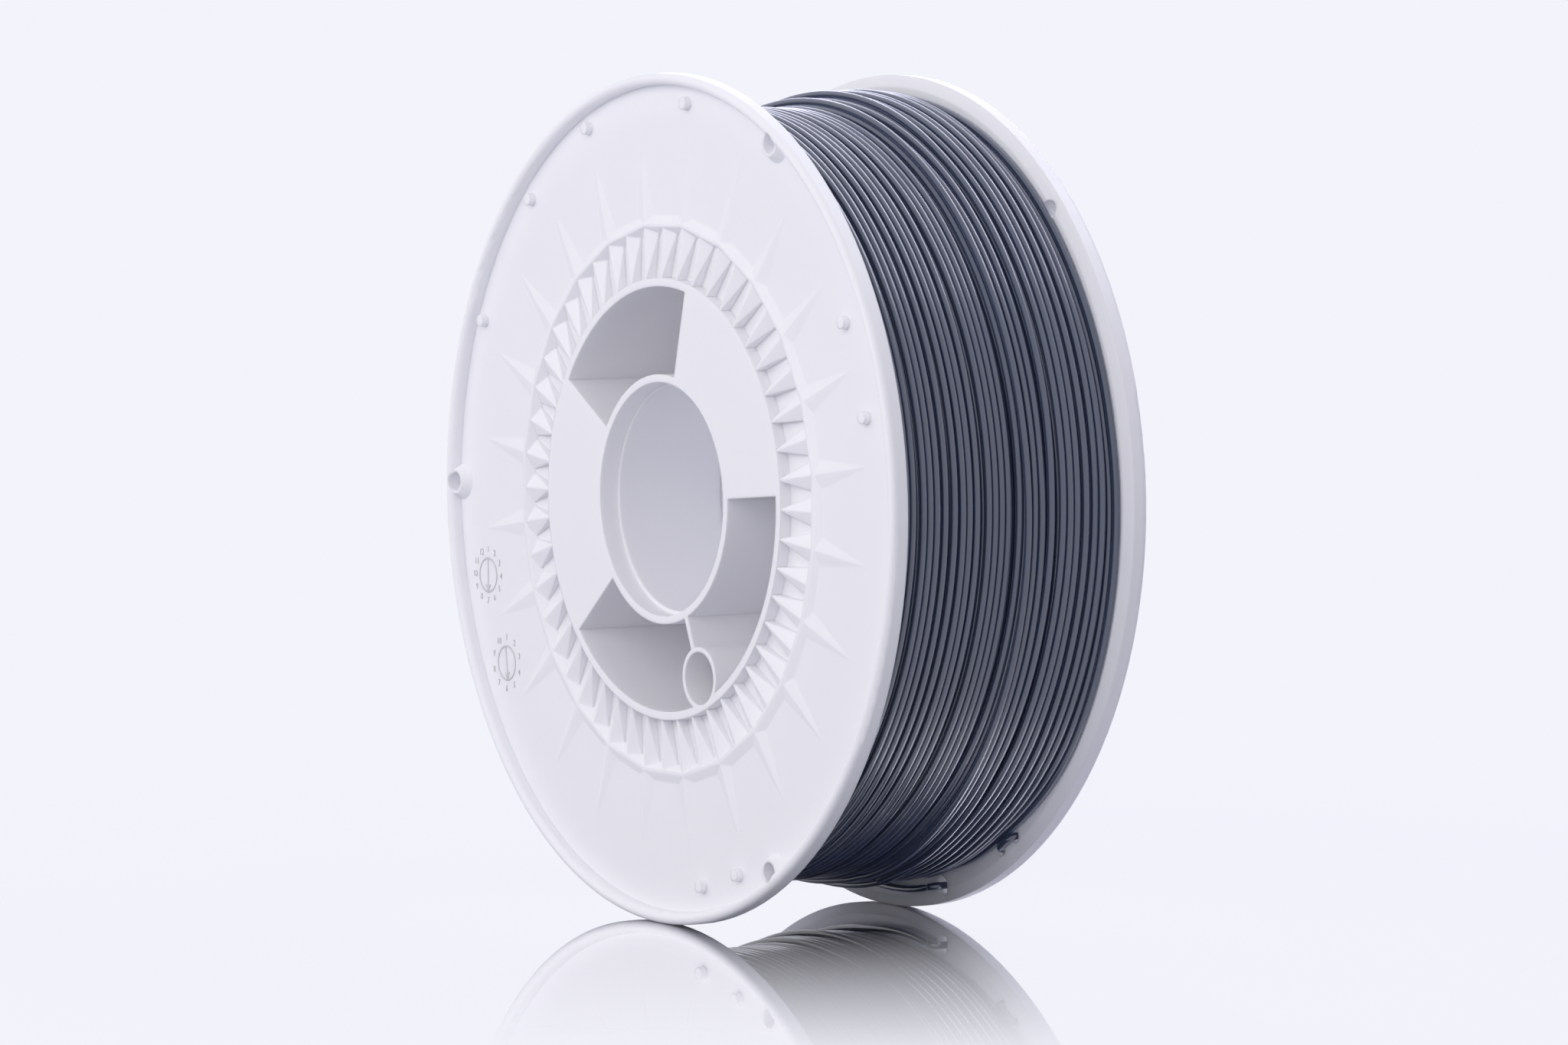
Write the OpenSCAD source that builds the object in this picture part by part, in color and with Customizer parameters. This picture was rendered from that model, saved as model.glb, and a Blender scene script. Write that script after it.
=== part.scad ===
// Plastic filament spool, standing on its two rims with the axis along Y.
// Two equal moulded halves meet at the middle; the filament is wound on
// their common drum. The origin is the middle of the spool.
// Angles in the near half are counted clockwise from the top, seen from -Y.

/* [Flanges] */
// Outer diameter of both flanges
flange_d = 200; // [190:1:215]
// Overall width over the two rim beads
spool_w = 70; // [62:1:80]
// Thickness of the flange plate
plate_t = 2.2; // [2:0.1:3]
// Width of the rounded bead round the rim
bead_w = 2.8; // [2.6:0.1:4]
// Depth of the flange face below the top of the bead
face_depth = 3.1; // [2.8:0.1:3.6]
// Length of the slope under the rim, measured inwards
rim_slope_r = 2.7; // [1:0.1:3.5]
// Height of the slope under the rim
rim_slope_h = 1.2; // [0.6:0.1:1.4]

/* [Hub] */
// Diameter of the drum that carries the winding
drum_d = 104; // [100:1:108]
// Wall of the drum
drum_wall = 2; // [1.6:0.1:3]
// Height of the hub face above the flange face
hub_rise = 1.6; // [1.4:0.1:2.2]
// Thickness of the closed parts of the hub face
hub_face_t = 2; // [1.6:0.1:3]
// Diameter of the bore that turns on the holder
bore_d = 53; // [50:0.5:54]
// Diameter of the wider mouth at each end of the bore
mouth_d = 55; // [54.4:0.2:56]
// Depth of the wider mouth
mouth_depth = 4.8; // [3:0.1:8]
// Wall of the bore tube at the mouth
bore_wall = 1.9; // [1.5:0.1:2.4]
// Thickness of the radial walls
web_t = 1.8; // [1.4:0.1:2.6]
// Thickness of the radial wall that carries the drive tube
drive_web_t = 1.4; // [1.2:0.1:2]
// Angle of the first radial wall from the top
web_turn = 13.5; // [10:0.5:16]

/* [Drive tube] */
// Bore of the drive tube
drive_bore_d = 12.4; // [10:0.2:13]
// Wall of the drive tube
drive_wall = 1.15; // [1:0.05:1.4]
// Distance of the drive tube from the spool's axis
drive_r = 44.4; // [43.6:0.1:45]

/* [Rib ring] */
// Number of ribs round the hub, an even number
rib_n = 48; // [40:2:52]
// Width of each rib for 1 mm of length, on each side of its crest
rib_flare = 0.34; // [0.28:0.01:0.36]
// Depth of the valleys between the ribs below the flange face
valley_depth = 1.2; // [0.8:0.1:1.3]
// Radius of the corners of the ridge round the ribs
ridge_r = 65.2; // [64.5:0.1:67]
// Width of the flat top of the ridge
ridge_w = 0.8; // [0.6:0.1:1.4]
// Height of the ridge above the flange face
ridge_h = 1; // [0.7:0.1:1.3]
// Width of the outer slope of the ridge
ridge_bank = 2.1; // [1.5:0.1:3]
// Width of the inner slope of the ridge
ridge_inner = 1.5; // [1:0.1:2]
// Radius at which the points of the spikes end
spike_tip_r = 86; // [80:0.5:90]
// Width of each spike where it leaves the ridge
spike_w = 7.4; // [6:0.1:8]

/* [Parking holes] */
// Distance of the middle of each parking hole from the rim
park_inset = 3.9; // [3.8:0.1:5]
// Diameter of each parking hole
park_d = 4.6; // [4:0.1:5]
// Height of the bosses round the parking holes
park_h = 2.2; // [1:0.1:2.4]
// Width of the boss wall at its top
park_lip = 0.75; // [0.6:0.05:0.9]
// Radius of the bosses at their foot
park_foot = 4.7; // [4.2:0.1:5]
// Diameter of the pair of thread-through holes in the far flange
loop_hole_d = 3.2; // [3:0.1:3.6]
// Distance of the middle of each thread-through hole from the rim
loop_inset = 4.5; // [4.3:0.1:6]

/* [Pins] */
// Diameter of the small round pins on the flange face
pin_d = 3; // [2.4:0.1:3.4]
// Height of the small round pins
pin_h = 1.6; // [0.8:0.1:2]

/* [Filament] */
// Diameter of the filament
filament_d = 1.75; // [1.6:0.05:1.8]
// Depth of the winding below the rim, at its low side
wound_depth = 8; // [7.5:0.5:14]
// Rise of the winding towards the far flange, on the radius
wound_rise = 4.2; // [1:0.1:4.4]
// Number of turns in the outer layer
turns = 24; // [16:1:24]
// Clearance between the wound core and the plastic
core_clear = 0.1; // [0.05:0.05:0.3]
// Clearance between the outer turns and the core below them
turn_clear = 0.15; // [0.1:0.05:0.4]
// Clearance between the filament and a wall that it runs along
strand_clear = 0.12; // [0.05:0.01:0.2]
// Inner radius of the filament's tight bends, as a share of its own
bend_share = 1.1; // [1:0.05:1.3]

/* [Hidden] */

flange_r = flange_d / 2;
half_w = spool_w / 2;
face_z = half_w - face_depth;
inner_z = face_z - plate_t;
bead_r = bead_w / 2;
drum_r = drum_d / 2;
drum_in = drum_r - drum_wall;
hub_z = face_z + hub_rise;
bore_r = bore_d / 2;
mouth_r = mouth_d / 2;
tube_r = mouth_r + bore_wall;
valley_z = face_z - valley_depth;
ridge_z = face_z + ridge_h;
sink = 0.5;
rim_skin = 0.05;
past = 1;

// The hub has five equal sectors, clockwise: two closed ones and three windows.
sector = 72;
closed = [true, false, false, true, false];
web_turns = [for (k = [0 : 4]) web_turn + k * sector];
drive_turn = web_turns[2];
// The far half is the same moulding turned over; this lines the windows up.
flip_turn = 2 * web_turn - sector;

park_turns = [30, 150, 270];
// Each pin as its clock angle and its distance from the rim.
pin_spots = [[-21.8, 6.1], [5.9, 6.8], [-41.4, 6.5], [-64.7, 6],
             [60.6, 12.1], [75.4, 12.1], [169.6, 8.7], [159.5, 8.7]];
park_r = flange_r - park_inset;

ribs_step = 360 / rib_n;
sides = rib_n / 2;
side_step = 360 / sides;
ridge_top = ridge_r * cos(side_step / 2);
ridge_foot = ridge_top - ridge_w - ridge_inner;
valley_r = ridge_top - ridge_w;
rib_len = ridge_top - ridge_w - drum_r;
rib_end = rib_len + ridge_w / 2;
rib_half = rib_flare * rib_end;
rib_tip = 0.15;
blend = 0.1;

// The last turn leaves through a parking hole of the far flange, and the
// loose end is threaded back through a pair of small holes.
park_turn = flip_turn - park_turns[1] + 360;
loop_turns = [148.9, 144.9];
loop_r = flange_r - loop_inset;
strand_r = filament_d / 2;
strand_sides = 6;
rings = 24;
ring_step = 360 / rings;
bend_rings = 4;
bend_r = filament_d * bend_share;
first_y = strand_r + 2 * strand_clear - inner_z;
last_y = inner_z - strand_r - bend_r;
last_turn = 200;
lift_lead = 2;
lift_span = 24;

plastic = "whitesmoke";
thread = "slategray";

// Turns the local x axis to a clock angle of the near face.
module at(turn) {
    rotate([0, 0, 90 - turn]) children();
}

function wall_at(turn) = abs(turn - drive_turn) < 1 ? drive_web_t : web_t;

// Section of the drum and the flange plate, with its rounded bead.
module flange_profile() {
    polygon([[drum_in, 0],
             [drum_r, 0],
             [drum_r, inner_z],
             [flange_r - rim_slope_r, inner_z],
             [flange_r, inner_z + rim_slope_h],
             [flange_r, half_w - bead_r],
             [flange_r - bead_w, half_w - bead_r],
             [flange_r - bead_w, face_z],
             [valley_r, face_z],
             [valley_r, valley_z],
             [drum_r, valley_z],
             [drum_r, hub_z],
             [drum_in, hub_z]]);
    translate([flange_r - bead_r, half_w - bead_r])
        circle(bead_r, $fn = 48);
}

// The space of one hub sector between the bore tube, the drum and its walls.
module sector_cut(start, z1) {
    reach = drum_in / cos(sector / 4) + past;
    translate([0, 0, -past])
        linear_extrude(z1 + past)
            difference() {
                intersection() {
                    circle(drum_in, $fn = 180);
                    polygon([[0, 0],
                             reach * [sin(start), cos(start)],
                             reach * [sin(start + sector / 2), cos(start + sector / 2)],
                             reach * [sin(start + sector), cos(start + sector)]]);
                }
                circle(tube_r, $fn = 180);
                for (edge = [start, start + sector])
                    rotate(90 - edge)
                        translate([0, -wall_at(edge) / 2])
                            square([flange_r, wall_at(edge)]);
            }
}

// Bore tube, radial walls and the closed parts of the hub face.
module hub_block() {
    difference() {
        cylinder(h = hub_z, r = drum_in + drum_wall / 2, $fn = 180);
        for (k = [0 : 4])
            sector_cut(web_turns[k], closed[k] ? hub_z - hub_face_t : hub_z + past);
    }
}

// A round rod along the axis of the drive tube.
module drive_rod(radius, z0, z1) {
    translate([drive_r * sin(drive_turn), drive_r * cos(drive_turn), z0])
        cylinder(h = z1 - z0, r = radius, $fn = 64);
}

// One straight side of the ridge, mitred to its neighbours.
module ridge_side() {
    intersection() {
        linear_extrude(hub_z)
            polygon([[0, 0],
                     spike_tip_r * [cos(side_step / 2), sin(side_step / 2)],
                     spike_tip_r * [cos(side_step / 2), -sin(side_step / 2)]]);
        rotate([90, 0, 0])
            linear_extrude(4 * spike_w, center = true)
                polygon([[ridge_foot, valley_z - sink],
                         [ridge_foot, valley_z],
                         [ridge_top - ridge_w, ridge_z],
                         [ridge_top, ridge_z],
                         [ridge_top + ridge_bank, face_z],
                         [ridge_top + ridge_bank, valley_z - sink]]);
    }
}

// One rib: a roof that flares from a sharp edge at the hub to the ridge.
module rib() {
    fall = atan((hub_z - ridge_z) / rib_len);
    rise = ridge_z - valley_z;
    floor_drop = rise + hub_rise;
    intersection() {
        translate([drum_r, 0, valley_z - sink])
            linear_extrude(floor_drop + past)
                polygon([[-sink, -rib_tip],
                         [rib_end, -rib_half],
                         [rib_end, rib_half],
                         [-sink, rib_tip]]);
        translate([drum_r, 0, hub_z - blend])
            rotate([0, 90 + fall, 0])
                translate([0, 0, -past])
                    linear_extrude(rib_end + 2 * past)
                        polygon([[0, 0],
                                 [rise, rib_half],
                                 [floor_drop, rib_half],
                                 [floor_drop, -rib_half],
                                 [rise, -rib_half]]);
    }
}

// One spike: a low roof whose crest runs down into the flange face.
module spike() {
    height = ridge_h - blend;
    fall = atan(height / (spike_tip_r - ridge_r));
    slope = spike_w / 2 / height;
    drop = height + sink;
    translate([spike_tip_r, 0, face_z])
        rotate([0, fall - 90, 0])
            linear_extrude((spike_tip_r - ridge_r + ridge_w / 2) / cos(fall))
                polygon([[0, 0], [-drop, slope * drop], [-drop, -slope * drop]]);
}

module face_pattern() {
    for (k = [0 : sides - 1])
        at(k * side_step) ridge_side();
    for (k = [0 : rib_n - 1])
        at(k * ribs_step) rib();
    for (k = [0 : sides - 1])
        at((k + 0.5) * side_step) spike();
}

// A round boss with a wide foot, cut off just inside the rim.
module park_boss(turn) {
    intersection() {
        at(turn)
            translate([park_r, 0, face_z - sink])
                cylinder(h = park_h + sink, r1 = park_foot, r2 = park_d / 2 + park_lip, $fn = 48);
        cylinder(h = half_w, r = flange_r - rim_skin, $fn = 180);
    }
}

// One moulded half: the middle plane at z = 0, the outer face up.
module half(loop_turns = []) {
    difference() {
        union() {
            rotate_extrude($fn = 180) flange_profile();
            hub_block();
            face_pattern();
            drive_rod(drive_bore_d / 2 + drive_wall, 0, hub_z);
            for (turn = park_turns)
                park_boss(turn);
            for (spot = pin_spots)
                at(spot[0])
                    translate([flange_r - spot[1], 0, face_z - sink])
                        cylinder(h = pin_h + sink, d = pin_d, $fn = 32);
        }
        translate([0, 0, -past])
            cylinder(h = hub_z + 2 * past, r = bore_r, $fn = 180);
        translate([0, 0, hub_z - mouth_depth])
            cylinder(h = mouth_depth + past, r = mouth_r, $fn = 180);
        drive_rod(drive_bore_d / 2, -past, hub_z + past);
        for (turn = park_turns)
            at(turn)
                translate([park_r, 0, inner_z - past])
                    cylinder(h = half_w - inner_z + 2 * past, d = park_d, $fn = 48);
        for (turn = loop_turns)
            at(turn)
                translate([loop_r, 0, inner_z - past])
                    cylinder(h = plate_t + 2 * past, d = loop_hole_d, $fn = 48);
    }
}

module near_half() {
    color(plastic)
        rotate([90, 0, 0]) half();
}

// The far half is turned over, so its clock angles run the other way.
module far_half() {
    color(plastic)
        rotate([0, flip_turn, 0])
            rotate([0, 0, 180])
                rotate([90, 0, 0])
                    half([for (turn = loop_turns) flip_turn - turn]);
}

// ---- The winding ----

function ease(u) = u <= 0 ? 0 : u >= 1 ? 1 : u * u * (3 - 2 * u);
function wound_at(y) = flange_r - wound_depth - strand_r + wound_rise * ease((y + lift_lead) / lift_span);
function core_at(y) = wound_at(y) * cos(ring_step / 2) - strand_r - turn_clear;
function spot(turn, r, y) = [r * sin(turn), y, r * cos(turn)];

// Plain wound core under the outer layer.
module filament_core() {
    y1 = inner_z - core_clear;
    steps = 12;
    color(thread)
        rotate([-90, 0, 0])
            rotate_extrude($fn = 180)
                polygon(concat([[drum_r + core_clear, -y1]],
                               [for (k = [0 : steps])
                                   let (y = -y1 + 2 * y1 * k / steps) [core_at(y), y]],
                               [[drum_r + core_clear, y1]]));
}

// Route of the outer layer: even turns, then the loose end through its holes.
turn_path = [for (k = [0 : turns * rings])
                 let (y = first_y + (last_y - first_y) * k / (turns * rings))
                 spot(last_turn + ring_step * (turns * rings - k), wound_at(y), y)];

function unit(v) = v / norm(v);
// A quarter bend: from a corner, coming along a and leaving along b.
function bend(corner, a, b, radius) =
    [for (k = [0 : bend_rings])
         let (t = 90 * k / bend_rings)
         corner + radius * (-a + b + a * sin(t) - b * cos(t))];

park_mid = spot(park_turn, park_r, 0);
loop_a = spot(loop_turns[0], loop_r, 0);
loop_b = spot(loop_turns[1], loop_r, 0);
out = [0, 1, 0];
lead_in = [-cos(park_turn), 0, sin(park_turn)];
run_out = unit(loop_a - park_mid);
run_in = unit(loop_b - loop_a);
over_y = face_z + park_h + strand_r + strand_clear / 2;
face_y = face_z + strand_r + strand_clear;
back_y = inner_z - strand_r - strand_clear;
boss_past = flange_r - park_r + strand_r;

end_path = concat(
    [for (k = [1 : 2])
         spot(last_turn + (park_turn - last_turn) * k / 3, park_r, last_y)],
    bend(park_mid + out * last_y, lead_in, out, bend_r),
    bend(park_mid + out * over_y, out, run_out, bend_r),
    [park_mid + out * over_y + run_out * boss_past,
     park_mid + out * face_y + run_out * (boss_past + 2 * filament_d)],
    bend(loop_a + out * face_y, run_out, -out, bend_r),
    bend(loop_a + out * back_y, -out, run_in, bend_r),
    bend(loop_b + out * back_y, run_in, out, bend_r),
    [loop_b + out * (face_z + filament_d)]);

path = concat(turn_path, end_path);
last = len(path) - 1;
heads = [for (i = [0 : last])
             i == 0 ? unit(path[1] - path[0])
             : i == last ? unit(path[last] - path[last - 1])
             : unit(unit(path[i] - path[i - 1]) + unit(path[i + 1] - path[i]))];

function level(v, head) = unit(v - head * (v * head));
// Side directions carried along the route without twist.
sideways = [for (i = 0, v = level(out, heads[0]); i <= last;
                 i = i + 1, v = i <= last ? level(v, heads[i]) : v) v];

function gap_to(p, a, b) =
    let (u = max(0, min(1, ((p - a) * (b - a)) / ((b - a) * (b - a)))))
    norm(p - a - u * (b - a)) - filament_d;
least_gap = min([for (i = [0 : last]) for (j = [i + rings / 3 : min(last - 1, i + 4 * rings)])
                     gap_to(path[i], path[j], path[j + 1])]);

module filament_turns() {
    echo(least_gap_mm = least_gap);
    points = [for (i = [0 : last]) for (s = [0 : strand_sides - 1])
                  let (w = 360 * s / strand_sides)
                  path[i] + strand_r * (cos(w) * sideways[i]
                                        + sin(w) * cross(heads[i], sideways[i]))];
    walls = [for (i = [0 : last - 1]) for (s = [0 : strand_sides - 1])
                 let (a = i * strand_sides + s,
                      b = i * strand_sides + (s + 1) % strand_sides)
                 each [[a, a + strand_sides, b], [b, a + strand_sides, b + strand_sides]]];
    caps = [for (s = [1 : strand_sides - 2])
                each [[0, s, s + 1],
                      [last * strand_sides, last * strand_sides + s + 1,
                       last * strand_sides + s]]];
    color(thread) polyhedron(points, concat(walls, caps));
}

near_half();
far_half();
filament_core();
filament_turns();
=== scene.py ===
import math

import bmesh
import bpy
import numpy as np
from mathutils import Matrix, Vector


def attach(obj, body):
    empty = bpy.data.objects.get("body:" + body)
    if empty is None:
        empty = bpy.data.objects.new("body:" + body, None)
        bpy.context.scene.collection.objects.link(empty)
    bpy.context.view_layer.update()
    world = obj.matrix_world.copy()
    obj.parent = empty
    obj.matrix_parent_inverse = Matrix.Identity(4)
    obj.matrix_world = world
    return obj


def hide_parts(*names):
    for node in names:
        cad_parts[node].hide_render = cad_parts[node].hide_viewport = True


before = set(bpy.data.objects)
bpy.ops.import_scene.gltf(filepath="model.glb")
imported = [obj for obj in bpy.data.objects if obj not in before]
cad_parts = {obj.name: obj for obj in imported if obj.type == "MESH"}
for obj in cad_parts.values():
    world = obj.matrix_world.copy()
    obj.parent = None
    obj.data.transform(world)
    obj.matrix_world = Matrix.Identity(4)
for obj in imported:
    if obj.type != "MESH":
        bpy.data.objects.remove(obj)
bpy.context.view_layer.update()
scene = bpy.context.scene
MM = 0.001

# ---- Sizes of the spool, in millimetres ----
RIM_R = 100.0
FACE = 31.9          # distance of each flange face from the middle plane
INNER = 29.7         # distance of each flange's inner side
STRAND = 1.75        # filament diameter
LAY = 0.5 * STRAND   # filament radius
PARK_TURN, PARK_R = 165.0, 96.1              # parking hole that the loose end leaves by
PARK_RISE = 2.2      # height of a parking boss over the face
LOOP_TURNS, LOOP_R = (148.9, 144.9), 95.5    # pair of small holes that holds the loose end
FLIP = -45.0         # turn of the far half about the axle, against the near one

# ---- Camera ----
FRAME_W, FOCAL = 2048, 7626.5     # width of the frame and focal length, both in pixels
SENSOR_W = 36.0                   # millimetres
EYE = (1.16636, -0.75179, 0.07664)    # metres
BEARING, DIP = 57.16, 3.43        # degrees that the view turns about Z, and dips below level

camera = bpy.data.cameras.new("camera")
camera.sensor_width = SENSOR_W
camera.lens = FOCAL / FRAME_W * SENSOR_W
camera.clip_end = 50.0
eye = bpy.data.objects.new("camera", camera)
eye.matrix_world = (Matrix.Translation(EYE)
                    @ Matrix.Rotation(math.radians(BEARING), 4, "Z")
                    @ Matrix.Rotation(math.radians(90.0 - DIP), 4, "X"))
scene.collection.objects.link(eye)
scene.camera = eye


# ---- Materials ----
def linear(hexcode):
    """An sRGB hex colour as linear RGBA."""
    out = []
    for k in (1, 3, 5):
        c = int(hexcode[k:k + 2], 16) / 255
        out.append(c / 12.92 if c <= 0.04045 else ((c + 0.055) / 1.055) ** 2.4)
    return (*out, 1.0)


def new_material(name):
    mat = bpy.data.materials.new(name)
    mat.use_nodes = True
    mat.node_tree.nodes.clear()
    return mat


def add(mat, kind, links=None, **settings):
    """Adds one node; links maps an input to a value or to another node's output."""
    n = mat.node_tree.nodes.new("ShaderNode" + kind)
    for key, value in settings.items():
        setattr(n, key, value)
    for key, value in (links or {}).items():
        if isinstance(value, bpy.types.NodeSocket):
            mat.node_tree.links.new(value, n.inputs[key])
        else:
            n.inputs[key].default_value = value
    return n


def moulded_styrene(name, tint_low, tint_high, rough_low, rough_high):
    """Injection-moulded polystyrene: satin from the tool, with a faint ripple, and just
    clear enough for light to soften its thin edges."""
    mat = new_material(name)
    where = add(mat, "TexCoord").outputs["Object"]
    # Clouds in the tint and haze in the gloss are 45 mm and 7 mm across.
    cloud = add(mat, "TexNoise", {"Vector": where, "Scale": 22.0, "Detail": 2.0, "Roughness": 0.5})
    tint = add(mat, "Mix", {"Factor": cloud.outputs["Fac"], "A": linear(tint_low), "B": linear(tint_high)},
               data_type="RGBA")
    haze = add(mat, "TexNoise", {"Vector": where, "Scale": 140.0, "Detail": 4.0, "Roughness": 0.6})
    rough = add(mat, "MapRange", {"Value": haze.outputs["Fac"], "From Min": 0.3, "From Max": 0.7,
                                  "To Min": rough_low, "To Max": rough_high})
    # The ripple of the flow is 11 mm long, and the tool's own grain about 1 mm.
    ripple = add(mat, "TexNoise", {"Vector": where, "Scale": 90.0, "Detail": 2.0})
    grain = add(mat, "TexNoise", {"Vector": where, "Scale": 1100.0, "Detail": 2.0})
    edge = add(mat, "Bevel", {"Radius": 0.0007}, samples=8)
    wavy = add(mat, "Bump", {"Strength": 0.04, "Distance": 0.0003, "Height": ripple.outputs["Fac"],
                             "Normal": edge.outputs["Normal"]})
    fine = add(mat, "Bump", {"Strength": 0.02, "Distance": 0.00005, "Height": grain.outputs["Fac"],
                             "Normal": wavy.outputs["Normal"]})
    body = add(mat, "BsdfPrincipled", {"Base Color": tint.outputs["Result"],
                                       "Roughness": rough.outputs["Result"],
                                       "IOR": 1.55, "Normal": fine.outputs["Normal"],
                                       "Subsurface Weight": 0.35, "Subsurface Scale": 0.0025,
                                       "Subsurface Radius": (0.92, 0.95, 1.0)})
    add(mat, "OutputMaterial", {"Surface": body.outputs["BSDF"]})
    return mat


def drawn_filament(name, tint_low, tint_high, rough_low, rough_high):
    """Extruded filament: a glossy skin over a satin body, with faint lines along its length."""
    mat = new_material(name)
    where = add(mat, "TexCoord").outputs["Object"]
    # Streaks are 25 mm long round the spool and 0.4 mm wide across the strand.
    along = add(mat, "Mapping", {"Vector": where, "Scale": (40.0, 2600.0, 40.0)})
    streak = add(mat, "TexNoise", {"Vector": along.outputs["Vector"], "Scale": 1.0, "Detail": 3.0})
    patch = add(mat, "TexNoise", {"Vector": where, "Scale": 60.0, "Detail": 4.0})
    tint = add(mat, "Mix", {"Factor": streak.outputs["Fac"], "A": linear(tint_low), "B": linear(tint_high)},
               data_type="RGBA")
    rough = add(mat, "MapRange", {"Value": patch.outputs["Fac"], "From Min": 0.3, "From Max": 0.7,
                                  "To Min": rough_low, "To Max": rough_high})
    lines = add(mat, "Bump", {"Strength": 0.05, "Distance": 0.00003, "Height": streak.outputs["Fac"]})
    body = add(mat, "BsdfPrincipled", {"Base Color": tint.outputs["Result"],
                                       "Roughness": rough.outputs["Result"],
                                       "IOR": 1.58, "Normal": lines.outputs["Normal"],
                                       "Coat Weight": 1.0, "Coat Roughness": 0.14, "Coat IOR": 1.65,
                                       "Sheen Weight": 0.65, "Sheen Roughness": 0.35,
                                       "Sheen Tint": linear("#c2cafa")})
    add(mat, "OutputMaterial", {"Surface": body.outputs["BSDF"]})
    return mat


styrene = moulded_styrene("moulded_polystyrene_white", "#f1f1f4", "#f5f5f8", 0.42, 0.50)
filament = drawn_filament("drawn_filament_slate", "#26334a", "#2f3c55", 0.34, 0.44)

for name in ("near_half", "far_half"):
    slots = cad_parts[name].data.materials
    slots.clear()
    slots.append(styrene)


def add_piece(name, mesh, material):
    """A finished mesh as a piece of the spool, in one material."""
    mesh.materials.clear()
    mesh.materials.append(material)
    piece = bpy.data.objects.new(name, mesh)
    scene.collection.objects.link(piece)
    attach(piece, "root")
    return piece


def mesh_of(name, data):
    """The mesh that a curve or a text gives; the curve or text itself is removed."""
    holder = bpy.data.objects.new(name, data)
    scene.collection.objects.link(holder)
    bpy.context.view_layer.update()
    mesh = bpy.data.meshes.new_from_object(holder.evaluated_get(bpy.context.evaluated_depsgraph_get()))
    bpy.data.objects.remove(holder)
    bpy.data.curves.remove(data)
    return mesh


def revolve(bm, profile, steps, centre=(0.0, 0.0, 0.0)):
    """Turns a closed profile of (radius, y) points round an axis along Y. The faces are made
    one by one, because bmesh's own spin gives them in another order on each run."""
    rings = []
    for k in range(steps):
        a = 2 * math.pi * k / steps
        rings.append([bm.verts.new((centre[0] + r * math.cos(a), centre[1] + y, centre[2] - r * math.sin(a)))
                      for r, y in profile])
    for ring, after in zip(rings, rings[1:] + rings[:1]):
        for k in range(len(profile)):
            bm.faces.new((ring[k - 1], ring[k], after[k], after[k - 1]))


# ---- The wound filament: how its turns are laid ----
# Every layer is a list of places along the axis, one for each step of its strand. Step 0 is
# at the clock angle of the parking hole, and the strand runs anticlockwise seen from the
# near side. A clock spot is a step's number within its turn.
STEPS = 180          # steps in each turn
SIDE = INNER - LAY - 0.06            # place of a strand that lies along a flange
LEAST = 1.01 * STRAND                # least distance between turns of one layer
QUICK_DRIFT, SLOW_DRIFT = 2.4, 0.6   # knots in each turn of the two random drifts
SMOOTH = 25          # steps over which a strand's bends are rounded, an odd number
NOWHERE = 1e3        # a place that no strand touches
rng = np.random.default_rng(11)


def ease(u):
    """Smooth step from 0 to 1."""
    u = np.clip(u, 0.0, 1.0)
    return u * u * (3 - 2 * u)


def wander(count, knots_per_turn, size):
    """Smooth random drift along a strand, through a few random knots in each turn."""
    knots = rng.normal(0.0, size, int(count / STEPS * knots_per_turn) + 5)
    x = np.linspace(1.0, len(knots) - 3.0, count)
    i = x.astype(int)
    t = x - i
    a, b, c, d = knots[i - 1], knots[i], knots[i + 1], knots[i + 2]
    square, cube = 2 * a - 5 * b + 4 * c - d, 3 * b - a - 3 * c + d
    return 0.5 * (2 * b + (c - a) * t + square * t ** 2 + cube * t ** 3)


def guided(y0, y1, turns, loose):
    """Places of a layer laid from y0 to y1, its turns never closer than one strand."""
    count = int(turns * STEPS) + 1
    sign = 1.0 if y1 > y0 else -1.0
    y = sign * np.linspace(y0, y1, count)
    y = y + wander(count, QUICK_DRIFT, loose) + wander(count, SLOW_DRIFT, loose)
    low, high = min(sign * y0, sign * y1), max(sign * y0, sign * y1)
    y = np.clip(y, low, high)
    for k in range(STEPS, count):
        y[k] = max(y[k], y[k - STEPS] + LEAST)
    y[-1] = min(y[-1], high)
    for k in range(count - 2, -1, -1):
        limit = high if k + STEPS >= count else y[k + STEPS] - LEAST
        y[k] = min(y[k], limit)
    kernel = np.hanning(SMOOTH)
    kernel /= kernel.sum()
    return sign * np.convolve(np.pad(y, SMOOTH // 2, mode="edge"), kernel, mode="valid")


def near_edge(places):
    """Place of a layer's strand that is nearest to the near flange, at each clock spot."""
    edge = np.full(STEPS, INNER)
    np.minimum.at(edge, np.arange(len(places)) % STEPS, places)
    return edge


# ---- The wound filament: how high it lies ----
# Outer radius that the pile reaches, by clock angle (rows) and by place along the axis.
PILE_TURNS = (0.0, 50.0, 90.0, 123.0, 150.0, 174.0, 230.0, 300.0)
PILE_Y = (-29.0, 2.0, 9.0, 17.0, 24.0, 29.3)
PILE_R = ((92.0, 92.0, 93.6, 95.8, 96.4, 92.2),
          (92.0, 92.1, 93.8, 95.8, 96.4, 93.0),
          (91.9, 92.0, 93.6, 95.4, 96.2, 95.0),
          (91.6, 91.9, 93.4, 94.9, 96.0, 95.9),
          (91.4, 91.6, 93.1, 94.0, 94.6, 92.6),
          (91.2, 91.4, 92.8, 93.2, 93.4, 92.6),
          (91.4, 91.6, 93.0, 94.0, 94.6, 93.4),
          (91.8, 91.9, 93.4, 95.0, 95.6, 93.0))
LAYER_RISE = 1.55    # what one layer adds to the pile's radius
EDGE_REACH = 1.1     # how far beside its last strand a layer still lifts the next one
PASSES = 160         # rounds in which a turn is pulled tight


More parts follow.
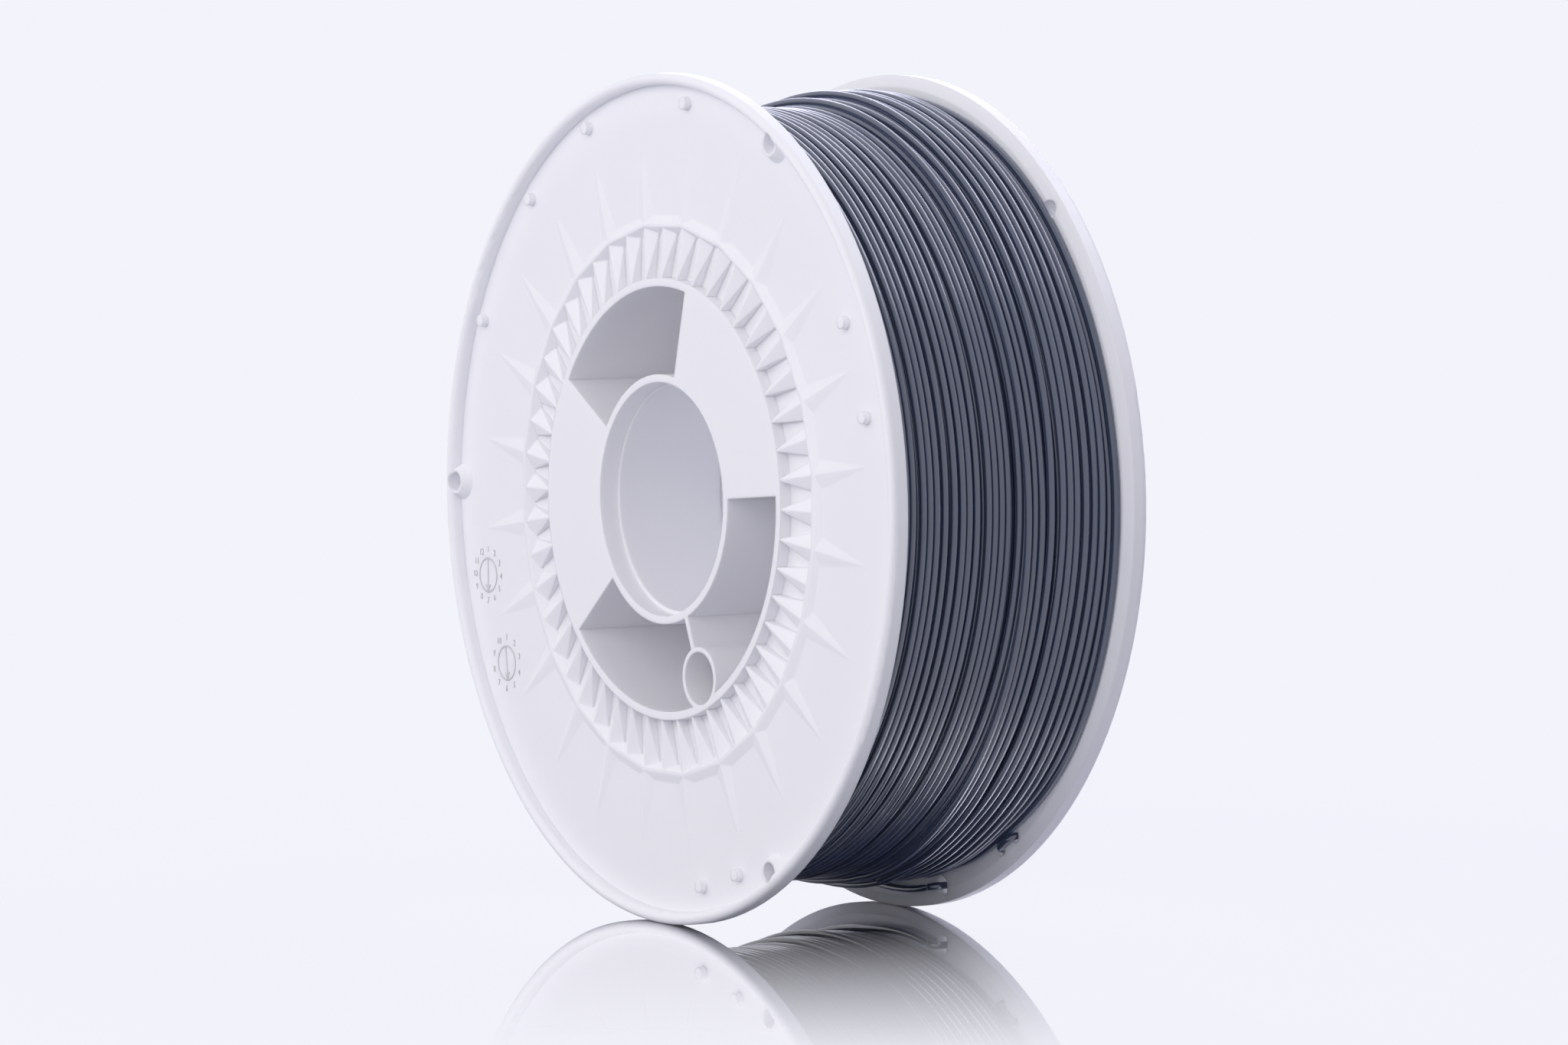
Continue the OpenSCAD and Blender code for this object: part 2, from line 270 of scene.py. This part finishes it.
def pile_top(y, spots):
    """Outer radius of the pile at clock spots and places along the axis."""
    turn = (PARK_TURN - 360.0 * spots / STEPS) % 360.0
    low = np.searchsorted(PILE_TURNS, turn, side="right") - 1
    ends = np.append(PILE_TURNS, 360.0)
    share = ease((turn - ends[low]) / (ends[low + 1] - ends[low]))
    rows = np.array(PILE_R + (PILE_R[0],))
    both = [np.array([np.interp(v, PILE_Y, rows[k]) for v, k in zip(y, row)]) for row in (low, low + 1)]
    return both[0] * (1 - share) + both[1] * share


def ground(y, spots, edges):
    """Radius at which the lowest layer lies: what the layers above it, with these edges, leave."""
    above = LAYER_RISE + sum(LAYER_RISE * ease(y - edge[spots] + EDGE_REACH) for edge in edges)
    return pile_top(y, spots) - LAY - above


def stack(laid, places, edges):
    """Lays a strand over the turns that are there already: at each angle it rests on the
    highest one below it, and under tension it bridges the hollows between."""
    radii = np.empty(len(places))
    span = int(STEPS * 1.25)             # a turn, and a quarter that the next turn replaces
    step = math.cos(2 * math.pi / STEPS)
    for start in range(0, len(places), STEPS):
        stop = min(start + span, len(places))
        y = places[start:stop]
        spots = np.arange(start, stop) % STEPS
        need = ground(y, spots, edges)
        for old_y, old_r in laid:
            gap = np.abs(y - old_y[spots])
            climb = np.sqrt(np.maximum(STRAND ** 2 - gap ** 2, 0))
            need = np.maximum(need, np.where(gap < STRAND, old_r[spots] + climb, 0.0))
        r = need.copy()
        if start:
            r[0] = radii[start - 1]
        for _ in range(PASSES):
            r[1:-1] = np.maximum(need[1:-1], 0.5 * (r[:-2] + r[2:]) * step)
        keep = min(STEPS, stop - start)
        radii[start:start + keep] = r[:keep]
        ring_y, ring_r = np.full(STEPS, NOWHERE), np.zeros(STEPS)
        ring_y[spots[:keep]], ring_r[spots[:keep]] = y[:keep], r[:keep]
        laid.append((ring_y, ring_r))
    return radii


def around(places, radii):
    """A layer's places and radii as points in space."""
    turn = -2 * math.pi * np.arange(len(places)) / STEPS + math.radians(PARK_TURN)
    return np.column_stack([radii * np.sin(turn), places, radii * np.cos(turn)])


# ---- The wound filament: its loose end ----
BEND = 1.1 * STRAND      # radius of the strand's bends at the holes
HOLE_GAP = 0.12          # clearance where the end passes over a face
BOSS_GAP = 0.02          # and where it crosses the boss of the parking hole
CLIMB, SHIFT = 20.0, 34.0    # degrees before the hole where the strand rises, and moves over
CORNER_POINTS = 9        # points along a quarter bend


def clock(turn, r):
    """A point of the middle plane at a clock angle round the spool's axis."""
    a = math.radians(turn)
    return Vector((r * math.sin(a), 0, r * math.cos(a)))


def corner(at, come, leave, radius):
    """A quarter bend round a corner, coming along one direction and leaving by another."""
    t = np.radians(np.linspace(0.0, 90.0, CORNER_POINTS))[:, None]
    come, leave = np.asarray(come), np.asarray(leave)
    return np.asarray(at) + radius * (leave - come + come * np.sin(t) - leave * np.cos(t))


def lifted(path):
    """Lets the last turn leave the pile in a straight run to the parking hole."""
    steps = len(path)
    left = (steps - 1 - np.arange(steps)) * 360.0 / STEPS        # degrees still to go
    r = np.hypot(path[:, 0], path[:, 2])
    rise, shift = ease(1 - left / CLIMB), ease(1 - left / SHIFT)
    y = path[:, 1] * (1 - shift) + (INNER - LAY - BEND) * shift
    r_new = r * (1 - rise) + PARK_R * rise
    return np.column_stack([path[:, 0] / r * r_new, y, path[:, 2] / r * r_new])


def loose_end():
    """Out through the parking hole, over the outer face, and back through the pair."""
    out = Vector((0, 1, 0))
    park = clock(PARK_TURN, PARK_R)
    first, second = (clock(turn, LOOP_R) for turn in LOOP_TURNS)
    come = Vector((-math.cos(math.radians(PARK_TURN)), 0, math.sin(math.radians(PARK_TURN))))
    over, back = (first - park).normalized(), (second - first).normalized()
    inside, outside = INNER - LAY - HOLE_GAP, FACE + LAY + HOLE_GAP
    top = FACE + PARK_RISE + LAY + BOSS_GAP
    boss = RIM_R - PARK_R + LAY
    return np.vstack([
        corner(park + out * (INNER - LAY - BEND), come, out, BEND),
        corner(park + out * top, out, over, BEND),
        [park + out * top + over * boss, park + out * outside + over * (boss + 2 * STRAND)],
        corner(first + out * outside, over, -out, BEND),
        corner(first + out * inside, -out, back, BEND),
        corner(second + out * inside, back, out, BEND),
        [second + out * (FACE + STRAND)]])


# ---- The wound filament: its pieces ----
# Each layer: name, places where it starts and ends, turns, and how far its turns drift. The
# last two cover only the side of the far flange, so the first two lie deeper there.
LAYERS = (("filament_under", SIDE, -SIDE, 33, 0.1),
          ("filament_main", -SIDE, SIDE, 26, 0.35),
          ("filament_upper", SIDE, 6.0, 10.5, 0.3),
          ("filament_last", 12.0, SIDE, 8, 0.3))
TOP_TURN_IN = 1.4    # how far the last turn, which lies on top, moves in from the flange

# The turns below are one body with ribs, which starts two layers and a strand under the pile.
RIBS, RIB_STEPS, RIB_H = 33, 6, 0.35                  # count, steps across each, and height
BELOW_R = PILE_R[0][0] - 3.0 - 1.95 * LAY - RIB_H     # radius at the foot of the ribs
BELOW_INNER, BELOW_GAP = 52.1, 0.1                    # inner radius, and clearance to each flange


def strand_mesh(name, points):
    """A round strand swept along its points, as one closed tube with ten sides."""
    curve = bpy.data.curves.new(name, "CURVE")
    curve.dimensions = "3D"
    curve.bevel_depth = LAY * MM
    curve.bevel_resolution = 3
    curve.use_fill_caps = True
    line = curve.splines.new("POLY")
    line.points.add(len(points) - 1)
    flat = np.ones((len(points), 4))
    flat[:, :3] = np.asarray(points) * MM
    line.points.foreach_set("co", flat.ravel())
    mesh = mesh_of(name + "_path", curve)
    mesh.name = name
    mesh.polygons.foreach_set("use_smooth", [True] * len(mesh.polygons))
    return mesh


def wound_filament():
    """The outer layers, one over the other; the last one ends in the loose end."""
    laid = []
    guides = [guided(*layer[1:]) for layer in LAYERS]
    edges = [near_edge(places) for places in guides[2:]]
    for (name, *_), places in zip(LAYERS, guides):
        if name == "filament_last":
            top_turn = SIDE - TOP_TURN_IN * ease(np.linspace(-0.5, 1.0, STEPS + 1))
            places = np.append(places[:-1], top_turn)
        path = around(places, stack(laid, places, edges))
        if name == "filament_last":
            path = np.vstack([lifted(path), loose_end()])
        piece = add_piece(name, strand_mesh(name, path), filament)
        if name == "filament_main":
            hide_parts("filament_turns")


def filament_below():
    """The turns below, as one ribbed body that shows only in the deepest gaps."""
    wide = INNER - BELOW_GAP
    profile = [(BELOW_INNER, -wide)]
    for k in range(RIBS * RIB_STEPS + 1):
        crest = RIB_H * abs(math.sin(math.pi * k / RIB_STEPS))
        profile.append((BELOW_R + crest, -wide + 2 * wide * k / (RIBS * RIB_STEPS)))
    profile.append((BELOW_INNER, wide))
    bm = bmesh.new()
    revolve(bm, [(r * MM, y * MM) for r, y in profile], steps=96)
    bmesh.ops.recalc_face_normals(bm, faces=bm.faces)
    mesh = bpy.data.meshes.new("filament_below")
    bm.to_mesh(mesh)
    bm.free()
    mesh.polygons.foreach_set("use_smooth", [True] * len(mesh.polygons))
    piece = add_piece("filament_below", mesh, filament)
    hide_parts("filament_core")


wound_filament()
filament_below()

# ---- Date dials, as the inserts of the mould leave them on each outer face ----
# Each dial: its centre on the near face (x, z), the clock angle of its arrow, how many numbers.
DIALS = (((-83.8, -22.7), 180.0, 12), ((-74.8, -43.9), 173.0, 10))
DIAL_R = 4.15                        # radius of each ring
SUNK = 0.1                           # how far a ring or bar reaches into the face
RING_W, RING_H = 0.5, 0.09           # width of the ring and height over the face
SHOULDER = 0.6                       # share of the ring's height where its top starts to round
ARROW_W, BARB_W, ARROW_H = 0.6, 0.5, 0.13    # widths of shaft and barbs, and their height
TIP_IN, TAIL_IN = 0.35, 0.2          # how far the arrow's ends stay inside the ring
BARB_BACK, BARB_SIDE = 1.5, 1.1      # where a barb of the arrow ends, from the tip
TOP_W = 0.6                          # share of a bar's width that its top keeps
NUMBER_SIZE, NUMBER_H = 2.2, 0.05    # size of the numbers' type, and height over the face
NUMBER_OUT = 2.2                     # distance of a number's centre outside the ring


def numeral(number):
    """A plain number as a mesh, flat in XZ and centred, facing the near side."""
    text = bpy.data.curves.new("number", "FONT")
    text.body = str(number)
    text.size = NUMBER_SIZE
    text.align_x, text.align_y = "CENTER", "CENTER"
    text.extrude = NUMBER_H
    text.resolution_u = 2
    mesh = mesh_of("number", text)
    mesh.transform(Matrix.Rotation(math.radians(90.0), 4, "X"))
    return mesh


def relief_ring(bm, centre, radius, width, height):
    """A low raised ring on the near face, with a rounded top."""
    bank = -SHOULDER * height
    profile = [(radius - width / 2, SUNK), (radius - width / 2, bank), (radius - width / 4, -height),
               (radius + width / 4, -height), (radius + width / 2, bank), (radius + width / 2, SUNK)]
    revolve(bm, profile, steps=48, centre=(centre.x, -FACE, centre.z))


def relief_bar(bm, start, stop, width, height):
    """A low raised bar on the near face, narrower at its top."""
    run = stop - start
    made = bmesh.ops.create_cube(bm, size=1.0)["verts"]
    for v in made:
        if v.co.y < 0:
            v.co.z *= TOP_W
            v.co.x *= 1 - (1 - TOP_W) * width / run.length
        v.co = Vector((v.co.x * run.length, v.co.y * (height + SUNK) + (SUNK - height) / 2 - FACE,
                       v.co.z * width))
    turn = Matrix.Rotation(math.atan2(-run.z, run.x), 4, "Y")
    bmesh.ops.transform(bm, matrix=Matrix.Translation((start + stop) / 2) @ turn, verts=made)


def date_dials():
    """Both dials on the near face: a ring, an arrow across it, and the numbers round it."""
    bm = bmesh.new()
    for (x, z), pointing, count in DIALS:
        centre = Vector((x, 0, z))
        relief_ring(bm, centre, DIAL_R, RING_W, RING_H)
        way = Vector((math.sin(math.radians(pointing)), 0, math.cos(math.radians(pointing))))
        side = Vector((way.z, 0, -way.x))
        tip, tail = centre + way * (DIAL_R - TIP_IN), centre - way * (DIAL_R - TAIL_IN)
        relief_bar(bm, tail, tip, ARROW_W, ARROW_H)
        for hand in (-1, 1):
            relief_bar(bm, tip - way * BARB_BACK + side * BARB_SIDE * hand, tip, BARB_W, ARROW_H)
        for k in range(count):
            a = 2 * math.pi * k / count
            out = DIAL_R + NUMBER_OUT
            mesh = numeral(k + 1)
            mesh.transform(Matrix.Translation((x + out * math.sin(a), -FACE, z + out * math.cos(a))))
            bm.from_mesh(mesh)
            bpy.data.meshes.remove(mesh)
    bmesh.ops.scale(bm, vec=(MM, MM, MM), verts=bm.verts)
    bmesh.ops.remove_doubles(bm, verts=bm.verts, dist=1e-8)
    bmesh.ops.recalc_face_normals(bm, faces=bm.faces)
    return bm


# The far half is the near one turned over, and then about the axle.
turned_over = Matrix.Rotation(math.radians(FLIP), 4, "Y") @ Matrix.Rotation(math.pi, 4, "Z")
for name, place in (("date_dials_near", Matrix.Identity(4)), ("date_dials_far", turned_over)):
    dials = date_dials()
    bmesh.ops.transform(dials, matrix=place, verts=dials.verts)
    mesh = bpy.data.meshes.new(name)
    dials.to_mesh(mesh)
    dials.free()
    add_piece(name, mesh, styrene)

# ---- Floor and backdrop ----
PAPER = "#f3f3fb"        # colour of the backdrop and of the sheet's own paint
SHEET_SHADE = "#aeafb8"  # what the sheet gives back to the object as soft light
FLOOR_HALF = 6.0         # metres from the middle of the sheet to its edge


def sharp_rays(mat):
    """In a material or the world: 1 for camera, glossy and transmission rays, which see the
    pale studio as it is, and 0 for soft light."""
    path = add(mat, "LightPath")
    sharp = add(mat, "Math", {0: path.outputs["Is Camera Ray"], 1: path.outputs["Is Glossy Ray"]},
                operation="MAXIMUM")
    clear = add(mat, "Math", {0: sharp.outputs["Value"], 1: path.outputs["Is Transmission Ray"]},
                operation="MAXIMUM")
    return clear.outputs["Value"]


def polished_sheet():
    """A polished acrylic sheet: it mirrors what stands on it, less and less with
    distance, and round the object a little of its own paint takes the shadow."""
    mat = new_material("polished_pale_sheet")
    where = add(mat, "TexCoord").outputs["Object"]
    flat = add(mat, "VectorMath", {0: where, 1: (1.0, 1.0, 0.0)}, operation="MULTIPLY")
    far = add(mat, "VectorMath", {0: flat.outputs["Vector"]}, operation="LENGTH")
    # Distances are in metres from the point under the spool's middle.
    fade = add(mat, "MapRange", {"Value": far.outputs["Value"], "From Min": 0.041, "From Max": 0.245,
                                 "To Min": 1.0, "To Max": 0.0})
    matt = add(mat, "MapRange", {"Value": far.outputs["Value"], "From Min": 0.1, "From Max": 0.5,
                                 "To Min": 0.16, "To Max": 0.0})
    shade = add(mat, "BsdfDiffuse", {"Color": linear(SHEET_SHADE)})
    paint = add(mat, "BsdfDiffuse", {"Color": linear(PAPER)})
    glow = add(mat, "Emission", {"Color": linear(PAPER), "Strength": 1.0})
    mirror = add(mat, "BsdfGlossy", {"Color": (1, 1, 1, 1), "Roughness": 0.015})
    pale = add(mat, "MixShader", {"Fac": matt.outputs["Result"], 1: glow.outputs["Emission"],
                                  2: paint.outputs["BSDF"]})
    seen = add(mat, "MixShader", {"Fac": fade.outputs["Result"], 1: pale.outputs["Shader"],
                                  2: mirror.outputs["BSDF"]})
    mixed = add(mat, "MixShader", {"Fac": sharp_rays(mat), 1: shade.outputs["BSDF"],
                                   2: seen.outputs["Shader"]})
    add(mat, "OutputMaterial", {"Surface": mixed.outputs["Shader"]})
    return mat


sheet = bmesh.new()
bmesh.ops.create_grid(sheet, x_segments=1, y_segments=1, size=FLOOR_HALF)
bmesh.ops.translate(sheet, verts=sheet.verts, vec=(0, 0, -RIM_R * MM))
sheet_mesh = bpy.data.meshes.new("floor")
sheet.to_mesh(sheet_mesh)
sheet.free()
sheet_mesh.materials.append(polished_sheet())
floor = bpy.data.objects.new("floor", sheet_mesh)
scene.collection.objects.link(floor)

world = bpy.data.worlds.new("studio")
scene.world = world
world.use_nodes = True
world.node_tree.nodes.clear()
soft = add(world, "Background", {"Color": linear("#f2f2fa"), "Strength": 0.43})
seen = add(world, "Background", {"Color": linear(PAPER), "Strength": 1.0})
mixed = add(world, "MixShader", {"Fac": sharp_rays(world), 1: soft.outputs["Background"],
                                 2: seen.outputs["Background"]})
add(world, "OutputWorld", {"Surface": mixed.outputs["Shader"]})


# ---- Light ----
def softbox(name, place, target, size, power, tint, mirrored=True):
    """An area lamp, in metres and watts; one that isn't mirrored leaves no white patch on
    the polished sheet."""
    lamp = bpy.data.lights.new(name, "AREA")
    lamp.shape = "RECTANGLE"
    lamp.size, lamp.size_y = size
    lamp.energy = power
    lamp.color = linear(tint)[:3]
    holder = bpy.data.objects.new(name, lamp)
    aim = (Vector(target) - Vector(place)).to_track_quat("-Z", "Y")
    holder.matrix_world = Matrix.Translation(place) @ aim.to_matrix().to_4x4()
    scene.collection.objects.link(holder)
    holder.visible_camera = False
    holder.visible_glossy = mirrored


MIDDLE = (0.0, 0.0, 0.0)
UPPER = (0.0, 0.0, 0.05)
softbox("back_top", (0.0, 0.75, 1.2), (0.0, 0.0, 0.02), size=(1.7, 0.7), power=5.2, tint="#eeecff")
softbox("highlight", (0.12, 0.9, 1.1), UPPER, size=(1.0, 0.16), power=3.7, tint="#ecebff")
softbox("front_left", (-0.45, -1.2, 0.4), MIDDLE, size=(1.8, 1.2), power=7.8, tint="#fefcff", mirrored=False)
softbox("front_right", (0.7, -1.2, 0.5), MIDDLE, size=(1.8, 1.2), power=8.1, tint="#fefcff", mirrored=False)
softbox("overhead", (0.3, -0.35, 1.3), MIDDLE, size=(1.3, 1.3), power=1.2, tint="#fcfbff", mirrored=False)
softbox("back_left", (-0.85, 0.7, 0.62), UPPER, size=(0.8, 0.5), power=3.4, tint="#ecebff")

scene.view_settings.view_transform = "Standard"
